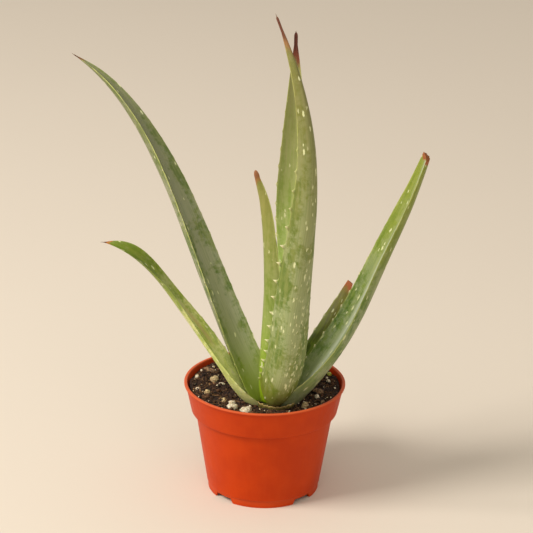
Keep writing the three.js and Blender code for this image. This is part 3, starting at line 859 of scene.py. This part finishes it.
def scarring(name, share, out, side):
    """An old healed scrape along the face of the lowest leaf, beside its midrib."""
    if name != "leaf_left_low":
        return 0 * share * out
    along = smooth(0.30, 0.38, share) * smooth(0.60, 0.46, share)
    beside = np.exp(-(((out + 0.28) / 0.2) ** 2))
    return along * beside * (side >= 0)


def blade_map(x, y, stations):
    """Each corner's place on the flattened leaf, in metres: the way across from the midrib on the
    side that its face lies on, the back set well to one side, and the distance along."""
    rows, columns = x.shape
    half_way = columns // 2
    closed_x = np.concatenate([x, x[:, :1]], 1)
    closed_y = np.concatenate([y, y[:, :1]], 1)
    run = np.hypot(np.diff(closed_x), np.diff(closed_y)).cumsum(1)
    run = np.concatenate([np.zeros((rows, 1)), run], 1)
    on_face = (run[:, half_way // 2, None] - run) * MM
    on_back = (run - run[:, half_way + half_way // 2, None]) * MM + back_offset
    along = stations * MM
    i, j = np.meshgrid(np.arange(rows - 1), np.arange(columns), indexing="ij")
    corners = [(i, j), (i, j + 1), (i + 1, j + 1), (i + 1, j)]
    on_upper = j < half_way
    quads = [np.stack([np.where(on_upper, on_face[a, b], on_back[a, b]), along[a]], -1) for a, b in corners]
    quads = np.stack(quads, 2)
    j = np.arange(columns)
    on_upper = j < half_way

    def fan(row, first, second):
        ways = [np.where(on_upper, on_face[row, k], on_back[row, k]) for k in (first, second)]
        ways.append(np.where(on_upper, 0.0, back_offset))
        return np.stack([np.stack([way, np.full(columns, along[row])], -1) for way in ways], 1)

    return [part.reshape(-1, 2) for part in (quads, fan(0, j + 1, j), fan(-1, j, j + 1))]


# ------------------------------------------------------------------ pot


def rounded(profile, steps=5):
    """A profile of (radius, height, fillet) points with each corner replaced by a curve that leaves
    and joins its two sides a fillet away from it: the quadratic curve through the corner."""
    points = [np.array(profile[0][:2])]
    for before, here, after in zip(profile, profile[1:], profile[2:]):
        corner = np.array(here[:2])
        if here[2] == 0:
            points.append(corner)
            continue
        back, ahead = np.array(before[:2]) - corner, np.array(after[:2]) - corner
        start = corner + back / np.linalg.norm(back) * here[2]
        end = corner + ahead / np.linalg.norm(ahead) * here[2]
        t = np.linspace(0, 1, steps)[:, None]
        points.extend((1 - t) ** 2 * start + 2 * t * (1 - t) * corner + t**2 * end)
    points.append(np.array(profile[-1][:2]))
    return np.array(points)


collar_top = lip_radius - lip_overhang
collar_foot = collar_top - collar_taper
body_top = collar_foot - shoulder
body_foot = body_top - body_taper
foot_radius = body_foot - foot_inset
shoulder_level = pot_height - collar_height
underside = foot_height - floor_thickness
wall_slope = (body_top - body_foot) / (shoulder_level - foot_height)
step_top = shoulder_level + wall
step_foot = step_top - shoulder_drop
step_radius = body_foot - wall + wall_slope * (step_foot - foot_height)
pot_angles = 480
hole_angles = 48


def pot_profile():
    """The pot's section from the middle of its underside, round the foot and up the outside, over the
    lip and down the inside to the middle of its floor."""
    outside = [
        (0, underside, 0), (foot_radius - foot_wall - 0.1, underside, 0.3),
        (foot_radius - foot_wall, 0, 0.25), (foot_radius, 0, 0.3),
        (foot_radius, foot_height - 0.1, 0.25), (body_foot, foot_height + 0.35, 0.35),
        (body_foot + 0.35, foot_height + 2.6, 0.8), (body_top, shoulder_level - shoulder_drop, 0.3),
        (collar_foot, shoulder_level, 0.4), (collar_top, pot_height - lip_height, 0.3),
        (lip_radius, pot_height - lip_height + 0.35, 0.3), (lip_radius, pot_height, 0.55),
        (collar_top - wall + 0.35, pot_height, 0.4),
    ]
    inside = [
        (collar_top - wall, pot_height - lip_height, 0.3), (collar_foot - wall, step_top, 0.5),
        (step_radius, step_foot, 0.4), (body_foot - wall, foot_height, 1.0), (0, foot_height, 0),
    ]
    return rounded(outside + inside)


def build_pot():
    """The profile turned about the axis. In each foot gap the foot's lower points are lifted to the
    underside, along a ramp at the gap's ends, and the wall wanders by a few hundredths."""
    profile = pot_profile()[1:-1]
    turn = angles(pot_angles)
    radius = profile[:, 0, None] + 0 * turn
    height = profile[:, 1, None] + 0 * turn
    from_gap = np.abs((turn * foot_gaps / (2 * np.pi)) % 1 - 0.5) * 2 * np.pi / foot_gaps * foot_radius
    ramp = (foot_gap_width / 2 + foot_gap_splay - from_gap) / foot_gap_splay
    lift = np.clip(ramp, 0, 1) * (underside - 0.02)
    height = np.where(height < underside - 0.01, np.maximum(height, lift), height)
    sway = around_axis(30 + 0 * radius, turn, height)
    radius = radius + 0.06 * value_noise(sway, 16, 5) * smooth(20, 40, radius)
    rings = around_axis(radius, turn, height)
    # The lip's top and the foot's ledge are marked for the painted highlight in the pot's finish.
    lip = smooth(pot_height - 1.3, pot_height - 0.2, height)
    foot_ledge_highlight = np.exp(-(((height - foot_height) / 0.4) ** 2)) * (radius > foot_radius - 0.2)
    values = {"edge": with_poles(np.maximum(lip, 0.7 * foot_ledge_highlight))}
    rows = len(profile)
    faces = ring_faces(rows, pot_angles)
    pot = mesh_object("nursery_pot", with_poles(rings), faces, moulded_plastic(), values, crease=35)
    cut_holes(pot, drain_cutter())
    return finish_piece(pot, ["pot"])


def drain_cutter():
    """The posts that the drain holes are cut with: one in the middle and one beside each foot gap."""
    reach = foot_radius - foot_wall - drain_edge - drain_radius
    turns = (np.arange(foot_gaps) + 0.5) / foot_gaps * 2 * np.pi
    middles = np.stack([np.cos(turns) * reach, np.sin(turns) * reach], -1)
    middles = np.concatenate([[[0.0, 0.0]], middles])
    radii = np.array([middle_drain_radius] + [drain_radius] * foot_gaps)
    around = angles(hole_angles)
    circle = np.stack([np.cos(around), np.sin(around)], -1)
    low, high = underside - 1, foot_height + 1
    parts, faces = [], []
    for k, (middle, radius) in enumerate(zip(middles, radii)):
        flat = middle + circle * radius
        x, y = flat.T
        rings = np.stack([np.stack([x, y, 0 * x + level], -1) for level in (low, high)])
        parts.append(with_poles(rings))
        faces.append([part + k * (2 * hole_angles + 2) for part in ring_faces(2, hole_angles)])
    joined = [np.concatenate(kind) for kind in zip(*faces)]
    return mesh_object("drain_cutter", np.concatenate(parts), joined, bpy.data.materials.new("cutter"))


def cut_holes(piece, cutter):
    """Takes the cutter out of the piece and throws the cutter away."""
    cut = piece.modifiers.new("holes", "BOOLEAN")
    cut.operation = "DIFFERENCE"
    cut.solver = "EXACT"
    cut.object = cutter
    bpy.context.view_layer.update()
    evaluated = piece.evaluated_get(bpy.context.evaluated_depsgraph_get())
    made = bpy.data.meshes.new_from_object(evaluated)
    piece.modifiers.clear()
    piece.data = made
    made.name = piece.name
    bpy.data.objects.remove(cutter)


# ------------------------------------------------------------------ soil


def soil_height(x, y):
    """The part's soil: low at the crown, banked towards the wall, with coarse and fine hummocks."""
    reach = np.hypot(x - crown[0], y - crown[1])
    banked = soil_bank * np.minimum(reach / lip_radius, 1) ** 2
    dipped = soil_dip * np.exp(-((reach / soil_dip_reach) ** 2))
    coarse = np.sin(x / coarse_hummock[0] + hummock_offset) * np.cos(y / coarse_hummock[1])
    fine = fine_hummock_share * np.sin(x / fine_hummock[0] - y / fine_hummock[1])
    return soil_level + banked - dipped + hummock_height * (coarse + fine)


def soil_surface(x, y):
    """The part's soil with crumbs on it: noise from five millimetres down to half a millimetre."""
    place = np.stack([x, y, 0 * x], -1)
    crumbs = 0.75 * rough_noise(place, 4.5, 11, 4) + 0.5 * np.abs(value_noise(place, 1.7, 17))
    return soil_height(x, y) + crumbs


def wall_radius(height):
    """The inside radius of the pot at heights above its step."""
    up = (height - step_top) / (pot_height - lip_height - step_top)
    return collar_foot - wall + np.clip(up, 0, 1) * (collar_top - collar_foot)


soil_edge = float(wall_radius(soil_level)) - gap
soil_rings = 150
soil_angles = 400


def build_soil():
    """Rings from the middle of the soil's underside, up the pot's inside and in over the surface."""
    turn = angles(soil_angles)
    side = np.array([
        (1.0, foot_height + gap), (18.0, foot_height + gap), (body_foot - wall - gap, foot_height + gap),
        (step_radius - gap, step_foot + gap), (collar_foot - wall - gap, step_top + gap),
    ])
    radius = np.concatenate([side[:, 0], soil_edge * np.linspace(1, 0.008, soil_rings)])
    x, y = radius[:, None] * np.cos(turn), radius[:, None] * np.sin(turn)
    height = soil_surface(x, y)
    height[: len(side)] = side[:, 1, None]
    points = np.stack([x, y, height], -1)
    faces = ring_faces(len(radius), len(turn))
    piece = mesh_object("potting_soil", with_poles(points), faces, dark_soil(), crease=60)
    return finish_piece(piece, ["soil"])


def ball(rings, columns):
    """A unit ball of rings and columns between two poles, with its faces."""
    tilt = (np.arange(rings) + 1) / (rings + 1) * np.pi
    turn = angles(columns)
    points = around_axis(np.sin(tilt)[:, None], turn, np.cos(tilt)[:, None] + 0 * turn)
    poles = np.array([[0, 0, 1.0], [0, 0, -1.0]])
    return np.concatenate([points.reshape(-1, 3), poles]), ring_faces(rings, columns)


def lay_copies(name, material, points, faces, tone):
    """One piece from copies of a shape: points are copies by points by 3, and tone is one number for
    each copy."""
    count, each = points.shape[:2]
    shift = (np.arange(count) * each)[:, None, None]
    joined = [(part[None] + shift).reshape(-1, part.shape[1]) for part in faces]
    values = {"tone": np.repeat(tone, each)}
    return finish_piece(mesh_object(name, points.reshape(-1, 3), joined, material, values))


def random_turns(random, count):
    """Rotation matrices from random unit quaternions."""
    q = random.normal(size=(count, 4))
    w, x, y, z = (q / np.linalg.norm(q, axis=1, keepdims=True)).T
    rows = [1 - 2 * (y * y + z * z), 2 * (x * y - z * w), 2 * (x * z + y * w),
            2 * (x * y + z * w), 1 - 2 * (x * x + z * z), 2 * (y * z - x * w),
            2 * (x * z - y * w), 2 * (y * z + x * w), 1 - 2 * (x * x + y * y)]
    return np.stack(rows, -1).reshape(-1, 3, 3)


def places_on_soil(random, count, keep_off=0.0):
    """Random places spread evenly over the soil, none under the crown."""
    radius = (soil_edge - 1.2) * np.sqrt(random.uniform(0, 1, count * 2))
    turn = random.uniform(0, 2 * np.pi, count * 2)
    x, y = radius * np.cos(turn), radius * np.sin(turn)
    clear = np.hypot(x - crown[0], y - crown[1]) > keep_off
    return x[clear][:count], y[clear][:count]


def strew(name, material, count, sizes, seed, sunk=0.1, keep_off=11.0, flat=0.75):
    """Copies of a small rough ball, each with its own three sizes, dents, turn and tone, laid on the
    soil all in one array: ball points times sizes, turned and moved."""
    random = np.random.default_rng(seed)
    x, y = places_on_soil(random, count, keep_off)
    count = len(x)
    base, faces = ball(3, 6)
    size = sizes[0] * (sizes[1] / sizes[0]) ** (random.uniform(0, 1, count) ** 1.7)
    scale = size[:, None] * random.uniform((0.7, 0.6, flat - 0.2), (1.2, 1.0, flat + 0.1), (count, 3)) / 2
    dents = 1 + random.uniform(-0.22, 0.22, (count, len(base), 1))
    shape = base[None] * dents * scale[:, None]
    turned = np.einsum("nij,nkj->nki", random_turns(random, count), shape)
    place = np.stack([x, y, soil_surface(x, y) + size * sunk], -1)
    tone = random.uniform(0, 1, count)
    return lay_copies(name, material, turned + place[:, None], faces, tone)


def strew_fibres(name, material, count, lengths, thickness, seed):
    """Thin curved threads: a four-sided section carried along an arc that lies on the soil, its ends
    tapered. Arcs, sizes and tones are worked out for all the threads at once."""
    random = np.random.default_rng(seed)
    x, y = places_on_soil(random, count, 9.0)
    count = len(x)
    steps = 8
    along = np.linspace(-0.5, 0.5, steps) * random.uniform(*lengths, count)[:, None]
    heading = random.uniform(0, 2 * np.pi, count)[:, None]
    heading = heading + along * random.uniform(-0.16, 0.16, count)[:, None]
    px = x[:, None] + along * np.cos(heading)
    py = y[:, None] + along * np.sin(heading)
    inwards = np.minimum(1, (soil_edge - 0.6) / np.maximum(np.hypot(px, py), 1))
    px, py = px * inwards, py * inwards
    lifted = random.uniform(0.1, 0.6, count)[:, None] + random.uniform(-0.1, 0.1, count)[:, None] * along
    pz = np.maximum(soil_surface(px, py).mean(1, keepdims=True) + lifted, soil_surface(px, py) - 0.2)
    taper = 1 - 0.75 * np.abs(np.linspace(-1, 1, steps)) ** 3
    radius = random.uniform(*thickness, count)[:, None] * taper
    turn = angles(4)
    side = np.stack([-np.sin(heading), np.cos(heading), 0 * heading], -1)
    upward = np.array([0.0, 0.0, 1.0])
    centre = np.stack([px, py, pz], -1)[:, :, None]
    ring = side[:, :, None] * np.cos(turn)[:, None] + upward * np.sin(turn)[:, None]
    rings = centre + ring * radius[:, :, None, None]
    poles = rings[:, [0, -1]].mean(2)
    points = np.concatenate([rings.reshape(count, -1, 3), poles], 1)
    return lay_copies(name, material, points, ring_faces(steps, 4), random.uniform(0, 1, count))


def node_axes(name):
    """A packed lump's middle, its own three directions and its half sizes along them, millimetres."""
    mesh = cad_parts[name].data
    points = np.empty(len(mesh.vertices) * 3)
    mesh.vertices.foreach_get("co", points)
    points = (points.reshape(-1, 3) - pot_axis) / MM
    middle = (points.min(0) + points.max(0)) / 2
    flat = points[:, :2] - points[:, :2].mean(0)
    _, directions = np.linalg.eigh(flat.T @ flat)
    axes = np.eye(3)
    axes[0, :2], axes[1, :2] = directions[:, 1], directions[:, 0]
    axes[1] *= np.sign(np.linalg.det(axes))
    own = (points - middle) @ axes.T
    return middle, axes, np.abs(own).max(0)


def build_lump(node, suffix, material, lumpiness, seed, rings=22):
    """A packed lump made fine: a ball drawn to the lump's three sizes and pushed in and out by noise
    that is coarse and fine, so that it is knobbly with small hollows."""
    middle, axes, half = node_axes(node)
    base, faces = ball(rings, rings * 2)
    shifted = base + seed * 7.3
    hollows = 0.5 * np.abs(value_noise(shifted, 0.35, seed + 5))
    push = 1 + lumpiness * rough_noise(shifted, 0.9, seed) - lumpiness * hollows
    shape = base * push[:, None] * half
    piece = mesh_object(node + suffix, shape @ axes + middle, faces, material)
    return finish_piece(piece, [node])


def build_lumps():
    """Every perlite granule, bark chip and feed bead. About a third of the granules are tan."""
    white = pitted_stone("perlite_white", (246, 234, 206), (222, 202, 164), (120, 92, 60), 0.35)
    tan = pitted_stone("perlite_tan", (222, 200, 150), (188, 160, 108), (104, 76, 44), 0.6)
    chip = pitted_stone("bark_chip", (168, 132, 92), (122, 88, 56), (62, 40, 24), 0.8)
    feed = coated_feed()
    for seed, node in enumerate(sorted(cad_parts)):
        if node.startswith("perlite_"):
            build_lump(node, "_grain", tan if seed % 3 == 0 else white, 0.3, 40 + seed)
        elif node.startswith("bark_chip_"):
            build_lump(node, "_flake", chip, 0.2, 40 + seed)
        elif node.startswith("feed_bead_"):
            build_lump(node, "_resin", feed, 0.05, 40 + seed)


# ------------------------------------------------------------------ dried scale and stem

scale_offset = 3.0
scale_radius = 14.0
scale_flare = 1.2
scale_thickness = 0.7
scale_ends = (-142.0, -42.0)
scale_below = 4.0
scale_lowest = 2.0
scale_horn = 1.5
scale_stations = 160
scale_steps = 12  # up each of its two skins


def build_scale():
    """A thin wall on an arc round the crown's front: its edge rises to a horn at each end as the
    square of the way from the middle, frays, and curls outwards with height."""
    share = np.linspace(0, 1, scale_stations)[:, None]
    turn = np.radians(scale_ends[0] + share * (scale_ends[1] - scale_ends[0]))
    fray = 0.5 * rough_noise(along_x(share * 40), 1.5, 61)
    top = soil_level + scale_lowest + scale_horn * (2 * share - 1) ** 2 + fray
    bottom = soil_level - scale_below
    up = np.linspace(0, 1, scale_steps)
    rise = np.concatenate([up, up[::-1]])
    skin = np.repeat([0.0, 1.0], scale_steps)
    thin = scale_thickness * (1 - 0.7 * rise**2)
    middle = scale_radius + scale_thickness / 2 + scale_flare * rise**2
    radius = middle + (skin - 0.5) * thin
    none = 0 * share * rise
    radius = radius + 0.35 * value_noise(np.stack([share * 24 + none, rise + none, none], -1), 1.6, 63)
    height = bottom + (top - bottom) * rise
    rings = around_axis(radius, turn, height) + crown + np.array([scale_offset, 0.0, 0.0])
    values = {"edge": with_poles(smooth(0.72, 0.97, rise) + 0 * share)}
    piece = mesh_object("papery_scale", with_poles(rings), ring_faces(scale_stations, 2 * scale_steps),
                        papery_scale(), values)
    return finish_piece(piece, ["dried_scale"])


def finish_stem():
    """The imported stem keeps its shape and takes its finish."""
    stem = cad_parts["stem"]
    stem.data.materials.clear()
    stem.data.materials.append(stem_flesh())


# ------------------------------------------------------------------ studio


floor_angles = 96
floor_depth = 20.0


def build_floor():
    """A wide round slab whose top is level with the pot's foot, as rings about its middle."""
    radius = np.array([0.5, 300, 1000, 4000.0])[:, None]
    turn = angles(floor_angles)
    rings = around_axis(radius, turn, 0 * radius * turn)
    under = rings[::-1] - np.array([0, 0, floor_depth])
    points = with_poles(np.concatenate([rings, under]))
    floor = mesh_object("studio_floor", points, ring_faces(8, floor_angles), plain_floor(), crease=30)


def add_light(name, place, aim, size, power, tint):
    """A square soft light at a place, in metres from the pot's axis, turned to face its aim."""
    data = bpy.data.lights.new(name, "AREA")
    data.size = size
    data.energy = power
    data.color = tint
    light = bpy.data.objects.new(name, data)
    away = np.array(place) - np.array(aim)
    away = away / np.linalg.norm(away)
    right = np.cross([0, 1, 0], away)
    right = right / np.linalg.norm(right)
    light.matrix_world = pose_matrix(right, np.cross(away, right), away, np.array(place) + pot_axis)
    bpy.context.scene.collection.objects.link(light)


def pose_matrix(right, upward, backward, place):
    """The matrix of something that looks along minus backward."""
    turn = Matrix((right, upward, backward)).transposed().to_4x4()
    turn.translation = place
    return turn


def light_the_studio():
    """A soft key from the left, a weak fill from in front, and the light of a pale room."""
    add_light("key_light", (-1.69, -0.72, 1.84), (0, 0, 0.15), 1.0, 58, (1.0, 0.975, 0.94))
    add_light("fill_light", (0.3, -1.8, 1.5), (0, 0, 0.15), 1.6, 9, (1.0, 0.96, 0.90))
    world = bpy.data.worlds.new("studio_air")
    bpy.context.scene.world = world
    world.use_nodes = True
    air = world.node_tree.nodes["Background"].inputs
    air["Color"].default_value = (1.0, 0.95, 0.88, 1.0)
    air["Strength"].default_value = 0.57


camera_distance = 1.3
camera_pitch = np.radians(20.69)
camera_roll = np.radians(0.9)
camera_aim = 0.1567
camera_lens = 135.08
sensor_width = 36


def add_camera():
    """Looks along +Y and down by the pitch, at a point on the pot's axis, with a slight roll."""
    backward = np.array([0, -np.cos(camera_pitch), np.sin(camera_pitch)])
    right = np.array([1.0, 0, 0])
    upward = np.cross(backward, right)
    rolled_right = np.cos(camera_roll) * right + np.sin(camera_roll) * upward
    rolled_upward = np.cos(camera_roll) * upward - np.sin(camera_roll) * right
    data = bpy.data.cameras.new("camera")
    data.lens = camera_lens
    data.sensor_width = sensor_width
    camera = bpy.data.objects.new("camera", data)
    place = pot_axis + np.array([0, 0, camera_aim]) + backward * camera_distance
    camera.matrix_world = pose_matrix(rolled_right, rolled_upward, backward, place)
    bpy.context.scene.collection.objects.link(camera)
    bpy.context.scene.camera = camera
    bpy.context.scene.view_settings.view_transform = "Standard"


# ------------------------------------------------------------------ the whole plant

add_camera()
light_the_studio()
build_floor()
build_pot()
build_soil()
for seed, leaf_name in enumerate(leaves):
    build_leaf(leaf_name, 100 + 20 * seed)
build_scale()
finish_stem()
build_lumps()
peat = toned_crumb("peat_crumb", colour(20, 11, 6), colour(88, 58, 36), 0.95, 0.9)
wood = toned_crumb("wood_fibre", colour(58, 36, 20), colour(150, 112, 72), 0.9, 1.2)
specks = toned_crumb("perlite_speck", colour(196, 172, 120), colour(244, 230, 200), 0.95, 1.2)
strew("peat_crumbs", peat, 1500, (0.7, 3.2), 71)
strew("bark_crumbs", wood, 160, (0.8, 3.0), 72, flat=0.5)
strew("perlite_specks", specks, 210, (0.5, 2.6), 73, sunk=0.25)
strew_fibres("peat_fibres", wood, 420, (3, 13), (0.08, 0.22), 74)
